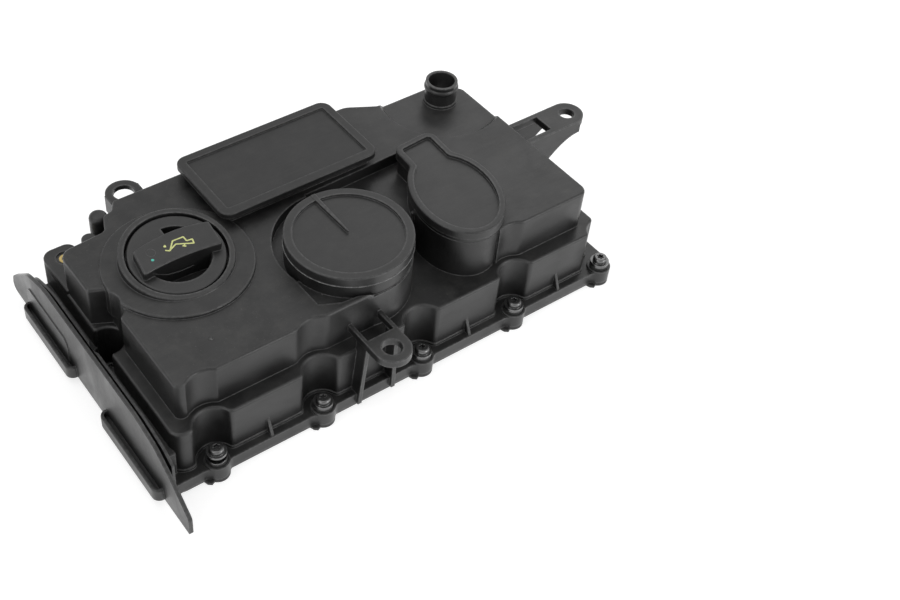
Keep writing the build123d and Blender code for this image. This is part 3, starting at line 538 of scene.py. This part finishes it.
def moulded(name, dark, pale, gloss, grains, skin_depth, edge_radius, dust):
    """Moulded plastic or rubber: a layered tone, a range of roughness, a skin and soft edges."""
    made, tree = new_material(name)
    place = node(tree, "ShaderNodeTexCoord").outputs["Object"]
    melt = placed(tree, "melt", {"Vector": place})
    edges = placed(tree, "edges", {"Radius": edge_radius})
    skin = placed(tree, "skin", {"Vector": place, "Grains per metre": grains})["Height"]
    film = placed(tree, "dust", {"Vector": place, "Amount": dust})["Dust"]
    tone = moulded_tone(tree, place, dark, pale, melt, edges["Edge"], film)
    rough = maths(tree, "MULTIPLY", melt["Broad"], gloss[1] - gloss[0])
    rough = maths(tree, "ADD", rough, gloss[0])
    streaks = maths(tree, "MULTIPLY", melt["Streaks"], STREAK_ROUGHNESS)
    rough = maths(tree, "ADD", rough, streaks)
    rough = maths(tree, "ADD", rough, maths(tree, "MULTIPLY", film, DUST_ROUGHNESS), clamp=True)
    bump = node(tree, "ShaderNodeBump", {
        "Height": skin, "Strength": SKIN_STRENGTH, "Distance": skin_depth,
        "Normal": edges["Normal"]})
    surface = node(tree, "ShaderNodeBsdfPrincipled", {
        "Base Color": tone, "Roughness": rough, "Normal": bump.outputs[0]})
    node(tree, "ShaderNodeOutputMaterial", {"Surface": surface.outputs[0]})
    return made


FINISH = {slot: moulded(*numbers) for slot, numbers in MOULDED.items()}
# Two finishes that no slot names: the rectangular lid's, and that of squeezed-out melt, whose
# paler tone is a painted highlight along the bead.
MATT_LID = moulded("nylon_matt_lid", 0.007, 0.012, (0.42, 0.55), 2300, 4e-5, 7e-4, 0.2)
WELD_FLASH_PAINTED_HIGHLIGHT = moulded("nylon_flash_painted_highlight", 0.022, 0.045, (0.3, 0.4), 1500, 9e-5, 2e-4, 0.4)
print("moulded finishes:", sorted(FINISH))


# %% [markdown]
# ## Metals
# The screws are blackened steel: the zinc shows through where the driver and the washer have
# rubbed.  The spring is bright drawn wire, and the insert in the corner is brass.  A metal's
# colour is the colour of its reflection, so instead of a dark paint over grey these use full
# Metallic, and differ in base colour, roughness and how much is rubbed.

# %% Metal finishes
DRAWN_OUT = (1.0, 1.0, 0.18)
SPOTS_PER_METRE, SPOT_RANGE = 260.0, (0.45, 0.7)
RUB_EVERYWHERE, RUB_IN_SPOTS = 0.4, 0.6
SPOT_SHARE, SPOT_TONE = 0.4, 0.6
BRUSH_STRENGTH = 0.5


def metal(name, tone, rubbed_and_highlit, gloss, brush_per_metre, brush_depth, edge_radius, wear_and_highlight):
    """Metal with a brushed or rolled skin, and a brighter tone where edges are rubbed."""
    made, tree = new_material(name)
    place = node(tree, "ShaderNodeTexCoord").outputs["Object"]
    drawn = node(tree, "ShaderNodeMapping", {"Vector": place, "Scale": DRAWN_OUT}).outputs[0]
    brush = noise(tree, drawn, brush_per_metre, detail=3.0)
    spots = ramp(tree, noise(tree, place, SPOTS_PER_METRE, detail=4.0), *SPOT_RANGE)
    edges = placed(tree, "edges", {"Radius": edge_radius})
    patchy = maths(tree, "ADD", maths(tree, "MULTIPLY", spots, RUB_IN_SPOTS), RUB_EVERYWHERE)
    rubbing = maths(tree, "MULTIPLY", edges["Edge"], patchy)
    spot_tone = [SPOT_TONE * v for v in tone]
    colour = mixed(tree, maths(tree, "MULTIPLY", spots, SPOT_SHARE), tone, spot_tone)
    colour = mixed(tree, maths(tree, "MULTIPLY", rubbing, wear_and_highlight), colour, rubbed_and_highlit)
    rough = maths(tree, "MULTIPLY", brush, gloss[1] - gloss[0])
    rough = maths(tree, "ADD", rough, gloss[0], clamp=True)
    bump = node(tree, "ShaderNodeBump", {
        "Height": brush, "Strength": BRUSH_STRENGTH, "Distance": brush_depth,
        "Normal": edges["Normal"]})
    surface = node(tree, "ShaderNodeBsdfPrincipled", {
        "Base Color": colour, "Roughness": rough, "Metallic": 1.0, "Normal": bump.outputs[0]})
    node(tree, "ShaderNodeOutputMaterial", {"Surface": surface.outputs[0]})
    return made


BRASS, RUBBED_BRASS = (0.55, 0.42, 0.17), (0.80, 0.66, 0.35)
METALS = {  # slot: name, tone, rubbed tone, roughness, brush per metre, depth, edge radius, wear
    "screw_steel": (
        "blackened_steel", grey(0.15), grey(0.70), (0.22, 0.40), 1500, 2e-5, 3e-4, 0.8),
    "spring_steel": ("spring_steel", grey(0.50), grey(0.70), (0.2, 0.35), 2500, 1e-5, 1e-4, 0.5),
    "brass": ("brass", BRASS, RUBBED_BRASS, (0.25, 0.4), 2500, 1e-5, 2e-4, 0.5),
}
FINISH.update({slot: metal(*numbers) for slot, numbers in METALS.items()})
print("finishes:", sorted(FINISH))


# %% [markdown]
# ## Dressing the solids
# The CAD nodes have the right shapes, so they stay as they are and only get finishes.  Each could
# be named here by hand, but the record already gives a slot for every node.  The rectangular lid
# is duller than the other two, so it takes a matt finish of its own.

# %% Dress the CAD nodes
for part in frame["record"]["subparts"]:
    piece = frame["nodes"][part["node"]]
    piece.data.materials.clear()
    piece.data.materials.append(FINISH[part["material_slot"]])
frame["nodes"]["chamber_lid"].data.materials[0] = MATT_LID


# %% [markdown]
# ## Spring and diaphragm that give
# Under the round lid the pressure regulator moves: the cup travels down, the coil spring shortens
# under it, and the rubber diaphragm rolls with it while its rim stays clamped.  A stiff solid
# can't do either, so each is copied into a mesh that may change.  The CAD mesh is loose
# triangles, so the copy's corners are merged first, and its folds stay sharp.

# %% Copies that may bend
SAME_CORNER, SHARP_FOLD = 1e-6, math.radians(40.0)


def giving_copy(name, stands_for, slot):
    """The mesh of a CAD node again, merged, as a piece that may bend with a joint."""
    mesh = bpy.data.meshes.new(name)
    shell = bmesh.new()
    shell.from_mesh(frame["nodes"][stands_for].data)
    bmesh.ops.remove_doubles(shell, verts=shell.verts, dist=SAME_CORNER)
    shell.to_mesh(mesh)
    shell.free()
    for left in [layer for layer in mesh.attributes if layer.name == "custom_normal"]:
        mesh.attributes.remove(left)
    mesh.materials.clear()
    mesh.materials.append(FINISH[slot])
    mesh.shade_smooth()
    mesh.set_sharp_from_angle(angle=SHARP_FOLD)
    made = bpy.data.objects.new(name, mesh)
    bpy.context.scene.collection.objects.link(made)
    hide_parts(stands_for)
    return made


coil = giving_copy("coil_spring", "regulator_spring", "spring_steel")
rolling = giving_copy("rolling_diaphragm", "regulator_diaphragm", "seal_rubber")
print("merged corners:", len(coil.data.vertices), "and", len(rolling.data.vertices))

# %% [markdown]
# ### How they move
# A real spring closes its turns evenly, and flattening the whole coil towards its foot would do
# the same, but here the coil only gets a mesh of its own and rides on the cover.  The diaphragm
# could be flattened too, but it doesn't get shorter: it turns from the cover's motion at its rim
# to the cup's in its middle.

# %% How the spring and the diaphragm move
RIM_DEPTH, FOLD_DEPTH = 0.0009, 0.0030


def joint_named(name):
    """Joint of the record, by name."""
    return next(j for j in frame["record"]["behaviour"]["joints"] if j["name"] == name)


spring_low, spring_high = np.array(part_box("regulator_spring"))
foot = [*(0.5 * (spring_low + spring_high))[:2], spring_low[2]]
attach(coil, "cover")
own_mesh(coil)

diaphragm_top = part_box("regulator_diaphragm")[1][2]
rim = [*foot[:2], diaphragm_top - RIM_DEPTH]
middle = [*foot[:2], diaphragm_top - FOLD_DEPTH]
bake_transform(rolling, "cover", "spring_cup", start=rim, end=middle)


# %% [markdown]
# ## Surfaces from formulas
# Every small form below is a profile carried along a path.  A curve object with a bevel could do
# it, but a grid of points keeps control of every corner: the path is a row of points, the profile
# a ring of offsets, and point (i, j) is path point i moved by offset j in the frame made of the
# path's side direction and Z.  numpy works out the whole grid at once.

# %% Helpers for swept surfaces
def piece_from(name, points, faces, material, body):
    """Object with a mesh in metres, smooth shaded, with its finish, riding on a body."""
    mesh = bpy.data.meshes.new(name)
    mesh.from_pydata(points.tolist(), [], faces)
    mesh.polygons.foreach_set("use_smooth", [True] * len(mesh.polygons))
    mesh.materials.append(material)
    mesh.update()
    made = bpy.data.objects.new(name, mesh)
    bpy.context.scene.collection.objects.link(made)
    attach(made, body)
    print(name, "has", len(points), "points and", len(faces), "faces")


def swept(path, profile, closed):
    """Grid of a profile (side, up) carried along a path, in mm: points in metres, and faces.

    The side direction is the path's tangent turned by -90 degrees about Z, so a point of the grid
    is path + side * profile_side + Z * profile_up.  The profile runs anticlockwise, so that the
    faces look out.  An open path ends in flat caps.
    """
    if closed:
        tangent = np.roll(path, -1, axis=0) - np.roll(path, 1, axis=0)
    else:
        tangent = np.gradient(path, axis=0)
    tangent = tangent / np.linalg.norm(tangent, axis=1, keepdims=True)
    side = np.stack([tangent[:, 1], -tangent[:, 0], np.zeros(len(path))], axis=1)
    side = side / np.linalg.norm(side, axis=1, keepdims=True)
    up = np.array([0.0, 0.0, 1.0])
    grid = path[:, None, :] + side[:, None, :] * profile[None, :, :1] + up * profile[None, :, 1:2]
    rows, columns = len(path), len(profile)
    i = np.arange(rows if closed else rows - 1)[:, None]
    j = np.arange(columns)[None, :]
    this_row, next_row = i * columns, (i + 1) % rows * columns
    k = (j + 1) % columns
    quads = np.stack([this_row + j, next_row + j, next_row + k, this_row + k], axis=-1)
    faces = quads.reshape(-1, 4).tolist()
    if not closed:
        faces.append(list(range(columns)))
        faces.append(list(range((rows - 1) * columns, rows * columns))[::-1])
    return grid.reshape(-1, 3) * MM, faces


print("helpers: piece_from, swept")


# %% [markdown]
# ## Ink
# The sign and the dot on the cap are screen-printed.  Printed ink is satin rather than glossy,
# and thin in patches where thumbs have worn it, so its colour and its roughness share one noise.

# %% Ink
INK_PER_METRE, INK_RANGE = 900.0, (0.35, 0.7)
WORN_SHARE, WORN_TONE = 0.55, 0.55
INK_ROUGHNESS, INK_ROUGHER = 0.4, 0.2
INK_STRENGTH, INK_DEPTH = 0.3, 2e-5


def ink_material(name, colour):
    """Screen-printed ink: satin, with a thin patchy film where it is worn."""
    made, tree = new_material(name)
    place = node(tree, "ShaderNodeTexCoord").outputs["Object"]
    patch = noise(tree, place, INK_PER_METRE, detail=4.0)
    worn = ramp(tree, patch, *INK_RANGE, 0.0, WORN_SHARE)
    tone = mixed(tree, worn, colour, [WORN_TONE * v for v in colour])
    rough = maths(tree, "ADD", maths(tree, "MULTIPLY", patch, INK_ROUGHER), INK_ROUGHNESS)
    bump = node(tree, "ShaderNodeBump", {
        "Height": patch, "Strength": INK_STRENGTH, "Distance": INK_DEPTH})
    surface = node(tree, "ShaderNodeBsdfPrincipled", {
        "Base Color": tone, "Roughness": rough, "Normal": bump.outputs[0]})
    node(tree, "ShaderNodeOutputMaterial", {"Surface": surface.outputs[0]})
    return made


SIGN_INK = ink_material("sign_ink", (0.66, 0.69, 0.27))
DOT_INK = ink_material("dot_ink", (0.08, 0.52, 0.42))
print("inks:", SIGN_INK.name, DOT_INK.name)


# %% [markdown]
# ## The cap's own frame
# The filler leans to the front, and the axis of the cap's joint says by how much.  A piece could
# be drawn flat and its object turned, but a finished piece keeps its object at the origin.  So
# whatever is on the cap is drawn upright about the joint's axis, with zero at the joint's point,
# and its points are turned at the end.

# %% Place on the leaning cap
cap_joint = joint_named("cap_turn")
cap_point = np.array(cap_joint["pos_m"]) / MM
cap_up = np.array(cap_joint["axis"]) / np.linalg.norm(cap_joint["axis"])
cap_right = np.array([1.0, 0.0, 0.0])
cap_turn = np.stack([cap_right, np.cross(cap_up, cap_right), cap_up])
GRIP_TOP = 7.5  # top of the grip bar over the joint's point, in mm


def on_cap(points):
    """Points in metres about the upright cap, turned to its lean and moved to its place."""
    return points @ cap_turn + cap_point * MM


print("the cap leans by", round(math.degrees(math.acos(cap_up[2])), 2), "degrees")


# %% [markdown]
# ## Oil-can sign on the cap
# The grip bar carries the usual sign of an oil can with a falling drop, printed in yellow-green.
# It could be painted in the cap's material with masks, but a film with an outline of its own
# stays sharp from any distance.  So each stroke is a flat bead of ink carried along a line of the
# can, and all the strokes are one piece.

# %% Strokes
INK_HEIGHT, INK_WIDTH = 0.08, 1.1
STROKE_STEP, FEWEST_POINTS = 0.35, 8
FLAT_PROFILE = np.array(  # corners of a stroke, as shares of its width and its height
    [[-0.5, -0.3], [0.5, -0.3], [0.5, 0.6], [0.35, 1.0], [-0.35, 1.0], [-0.5, 0.6]])


def evenly(points, step):
    """Points on straight runs between corners, a step apart, by their distance along the line."""
    corners = np.array(points, float)
    length = np.concatenate([[0.0], np.cumsum(np.linalg.norm(np.diff(corners, axis=0), axis=1))])
    places = np.linspace(0.0, length[-1], max(FEWEST_POINTS, int(length[-1] / step)))
    return np.stack([np.interp(places, length, corner) for corner in corners.T], axis=1)


def stroke(points, width=INK_WIDTH):
    """Printed line about the cap's axis: a flat profile along an evenly stepped path."""
    flat = evenly(points, STROKE_STEP)
    path = np.concatenate([flat, np.full((len(flat), 1), GRIP_TOP)], axis=1)
    return swept(path, FLAT_PROFILE * [width, INK_HEIGHT], False)


def joined(parts):
    """One set of points and faces from several."""
    starts = np.cumsum([0] + [len(points) for points, _ in parts]).tolist()
    faces = [[i + start for i in face] for start, (_, some) in zip(starts, parts) for face in some]
    return np.concatenate([points for points, _ in parts]), faces


print("a stroke is", INK_WIDTH, "mm wide and", INK_HEIGHT, "mm high")

# %% [markdown]
# ### The can's lines
# A font or a drawn curve could carry the sign.  Seven short rows of corners in mm about the cap's
# axis are enough, and they stay easy to move: the spout, the two edges of the can, its handle,
# the stand with its foot, and the drop, which is wider than the lines.

# %% Lines of the can
SPOUT_TIP = [(-8.7, 1.2), (-6.0, -0.8)]
CAN_TOP = [(-6.0, -0.8), (0.0, 6.2), (8.5, 5.9), (8.8, 1.4)]
CAN_BOTTOM = [(-4.8, 0.1), (0.6, 2.6), (6.3, 0.0), (8.5, -1.1)]
HANDLE = [(8.8, 1.6), (13.1, 1.1), (12.4, -2.7), (8.5, -1.1)]
STAND = [(6.2, -0.2), (5.1, -1.6)]
STAND_FOOT = [(3.9, -1.0), (6.2, -2.6)]
DROP = [(-7.4, 5.4), (-7.1, 4.6), (-7.5, 3.6)]
DROP_WIDTH = 1.7 * INK_WIDTH

can = [stroke(line) for line in (SPOUT_TIP, CAN_TOP, CAN_BOTTOM, HANDLE, STAND, STAND_FOOT)]
can.append(stroke(DROP, DROP_WIDTH))
points, faces = joined(can)
piece_from("oil_can_sign", on_cap(points), faces, SIGN_INK, "cap")


# %% [markdown]
# ## Printed dot
# Beside the sign sits a small dot of green ink.  A sphere cut off flat would do, but a shallow
# dome of rings about one middle point needs fewer points and has a closed foot.

# %% Printed dot
DOT_PLACE, DOT_RADIUS = (-20.6, -2.2), 1.15


def low_dome(centre, radius, height, z, rings=4, count=28):
    """Shallow dome: height * (1 - r^2) over a disc, as rings of points round one middle point."""
    r = np.linspace(1.0, 1.0 / rings, rings)
    t = np.linspace(0.0, 2.0 * math.pi, count, endpoint=False)
    x = centre[0] + radius * r[:, None] * np.cos(t)
    y = centre[1] + radius * r[:, None] * np.sin(t)
    up = np.repeat(z + height * (1.0 - r[:, None] ** 2), count, axis=1)
    points = np.stack([x, y, up], axis=-1).reshape(-1, 3)
    points = np.concatenate([points, [[centre[0], centre[1], z + height]]])
    i, j = np.arange(rings - 1)[:, None] * count, np.arange(count)[None, :]
    k = (j + 1) % count
    quads = np.stack([i + j, i + k, i + count + k, i + count + j], axis=-1)
    last = (rings - 1) * count
    tips = np.stack([last + j[0], last + k[0], np.full(count, rings * count)], axis=-1)
    foot_ring = list(range(count))[::-1]
    return points * MM, [*quads.reshape(-1, 4).tolist(), *tips.tolist(), foot_ring]


points, faces = low_dome(DOT_PLACE, DOT_RADIUS, INK_HEIGHT, GRIP_TOP)
piece_from("cap_dot", on_cap(points), faces, DOT_INK, "cap")


# %% [markdown]
# ## Ring of the ejector
# A pin pushes the cap out of the mould, and the gap round the pin leaves a thin raised ring.  A
# torus would float half inside the bar, so the ring is a half-round bead whose flat foot is just
# below the surface, carried round a circle.

# %% Ring of the ejector
RING_PLACE, RING_RADIUS = (-18.6, 4.0), 3.3
RING_WIDTH, RING_HEIGHT, RING_POINTS = 0.55, 0.14, 60
FOOT_DEPTH = 0.3


def bead_profile(width, height, count=10):
    """Half-round bead: the half ellipse (width / 2 * cos t, height * sin t) on a sunken foot."""
    t = np.linspace(0.0, math.pi, count)
    top = np.stack([0.5 * width * np.cos(t), height * np.sin(t)], axis=1)
    return np.concatenate([top, [[-0.5 * width, -FOOT_DEPTH], [0.5 * width, -FOOT_DEPTH]]])


def circle_path(centre, radius, z, count):
    """Points round a circle: centre + radius * (cos t, sin t)."""
    t = np.linspace(0.0, 2.0 * math.pi, count, endpoint=False)
    x, y = centre[0] + radius * np.cos(t), centre[1] + radius * np.sin(t)
    return np.stack([x, y, np.full(count, z)], axis=1)


ring_path = circle_path(RING_PLACE, RING_RADIUS, GRIP_TOP, RING_POINTS)
points, faces = swept(ring_path, bead_profile(RING_WIDTH, RING_HEIGHT), True)
piece_from("cap_ejector_ring", on_cap(points), faces, FINISH["cap_plastic"], "cap")


# %% [markdown]
# ## Weld flash under the lids
# The lids are welded on: both rims are melted and pressed together, and a little melt is squeezed
# out of the joint and stays as a thin uneven bead.  A bump would show it from above only, so it
# is a small oval carried round the joint.  Its path swells in and out by a sum of sines, because
# the melt doesn't come out evenly.

# %% Bead of squeezed-out melt
WAVES = ((5, 1.0), (13, 2.1), (31, 0.7))  # waves round the joint, and how a seed shifts each


def uneven(path, swell, seed):
    """Path pushed sideways by swell * (sum of three sines of its place along the line) / 3."""
    u = np.linspace(0.0, 2.0 * math.pi, len(path), endpoint=False)
    wave = sum(np.sin(count * u + shift * seed) for count, shift in WAVES)
    along = np.roll(path, -1, axis=0) - np.roll(path, 1, axis=0)
    along = along / np.linalg.norm(along, axis=1, keepdims=True)
    outward = np.stack([along[:, 1], -along[:, 0], np.zeros(len(path))], axis=1)
    return path + outward * (swell / 3.0 * wave)[:, None]


def oval_profile(reach, height, count=10):
    """Small oval about the path: (reach * cos t, height * sin t)."""
    t = np.linspace(0.0, 2.0 * math.pi, count, endpoint=False)
    return np.stack([reach * np.cos(t), height * np.sin(t)], axis=1)


def weld_bead(name, path, reach, height):
    """Oval of melt carried round a closed joint."""
    points, faces = swept(path, oval_profile(reach, height), True)
    # The bead is real melt, and its paler finish paints the highlight that the weld line catches.
    piece_from(name, points, faces, WELD_FLASH_PAINTED_HIGHLIGHT, "cover")


def node_box(name):
    """Lowest and highest corner of a CAD node, in mm."""
    low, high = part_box(name)
    return np.array(low) / MM, np.array(high) / MM


print("round lid (mm):", [corner.round(1).tolist() for corner in node_box("regulator_lid")])

# %% [markdown]
# ### Weld of the round lid
# The round lid is flush with its wall, so its joint is a circle at the lid's lowest edge.  The
# radius and the height come from the lid's own box, and the bead follows if the lid ever changes.

# %% Weld of the round lid
ROUND_SWELL, ROUND_REACH, ROUND_HEIGHT, ROUND_POINTS = 0.12, 0.40, 0.42, 300

round_low, round_high = node_box("regulator_lid")
round_axis = 0.5 * (round_low[:2] + round_high[:2])
round_radius = 0.5 * (round_high[0] - round_low[0])
round_joint = circle_path(round_axis, round_radius, round_low[2], ROUND_POINTS)
round_joint = uneven(round_joint, ROUND_SWELL, seed=1.0)
weld_bead("round_lid_weld", round_joint, ROUND_REACH, ROUND_HEIGHT)

# %% [markdown]
# ### Weld of the rectangular lid
# The rectangular lid overhangs its wall by a lip, so its joint lies further in and just below the
# lid.  Four quarter circles joined by straight runs make the path, and numpy turns one arc into
# all four corners.

# %% Weld of the rectangular lid
LIP, WALL_CORNER, JOINT_DROP = 5.5, 4.0, 0.5
BOX_SWELL, BOX_REACH, BOX_HEIGHT, CORNER_POINTS = 0.25, 0.55, 0.5, 60


def rounded_path(low, high, radius, z, count):
    """Points round a rectangle whose corners are quarter circles, anticlockwise.

    Corner k is middle + radius * (cos t, sin t), where t runs over quarter turn number k.
    """
    t = np.linspace(0.0, 0.5 * math.pi, count)
    arc = radius * np.stack([np.cos(t), np.sin(t)], axis=1)
    left, front = low[0] + radius, low[1] + radius
    right, back = high[0] - radius, high[1] - radius
    rows = []
    for k, middle in enumerate([(right, back), (left, back), (left, front), (right, front)]):
        c, s = math.cos(0.5 * math.pi * k), math.sin(0.5 * math.pi * k)
        rows.append(arc @ np.array([[c, s], [-s, c]]) + middle)
    flat = np.concatenate(rows)
    return np.concatenate([flat, np.full((len(flat), 1), z)], axis=1)


box_low, box_high = node_box("chamber_lid")
joint_z = box_low[2] - JOINT_DROP
wall_low, wall_high = box_low[:2] + LIP, box_high[:2] - LIP
box_joint = rounded_path(wall_low, wall_high, WALL_CORNER, joint_z, CORNER_POINTS)
box_joint = uneven(box_joint, BOX_SWELL, seed=2.0)
weld_bead("chamber_lid_weld", box_joint, BOX_REACH, BOX_HEIGHT)


# %% [markdown]
# ## Gate scar
# The melt enters the mould through small gates, and where one is broken off a flat button stays.
# It is a third of a millimetre high, but it catches the light, so it is a real dome and not a
# bump.

# %% Gate scar
PLATEAU = 84.0  # top of the upper storey, in mm
SCAR_PLACE, SCAR_RADIUS, SCAR_HEIGHT = (-153.3, -64.9), 1.7, 0.35

points, faces = low_dome(SCAR_PLACE, SCAR_RADIUS, SCAR_HEIGHT, PLATEAU)
piece_from("gate_scar", points, faces, FINISH["plastic"], "cover")


# %% [markdown]
# ## Flow mark and flash
# Where two streams of melt meet in the sunken floor, a fine ridge is left.  Under the cap's grip
# the slides of the tool close, and a little melt creeps between them as flash.  Both are thin
# beads along a few corners: the ridge lies on the floor with a flat foot, and the flash, which
# runs down a wall, is a small oval.

# %% Flow mark and the flash under the grip
LINE_STEP = 0.5
MOAT_FLOOR = 80.5  # sunken floor round the towers, in mm
MARK_WIDTH, MARK_HEIGHT, MARK_POINTS = 0.9, 0.3, 8
FLASH_REACH, FLASH_HEIGHT = 0.35, 0.4
FLOW_MARK = [(-65.5, -62.3), (-64.4, -64.2), (-64.8, -66.9), (-65.0, -68.9)]
GRIP_FLASH = [(-24.8, -10.2, 3.6), (-18.9, -9.7, -1.4), (-12.3, -9.3, -6.1), (-2.5, -9.2, -8.4),
              (3.2, -9.3, -8.3), (8.7, -9.6, -7.9)]

mark_path = evenly([(*point, MOAT_FLOOR) for point in FLOW_MARK], LINE_STEP)
points, faces = swept(mark_path, bead_profile(MARK_WIDTH, MARK_HEIGHT, MARK_POINTS), False)
piece_from("moat_flow_mark", points, faces, FINISH["plastic"], "cover")
flash_path = evenly(GRIP_FLASH, LINE_STEP)
points, faces = swept(flash_path, oval_profile(FLASH_REACH, FLASH_HEIGHT), False)
piece_from("grip_flash", on_cap(points), faces, FINISH["cap_plastic"], "cap")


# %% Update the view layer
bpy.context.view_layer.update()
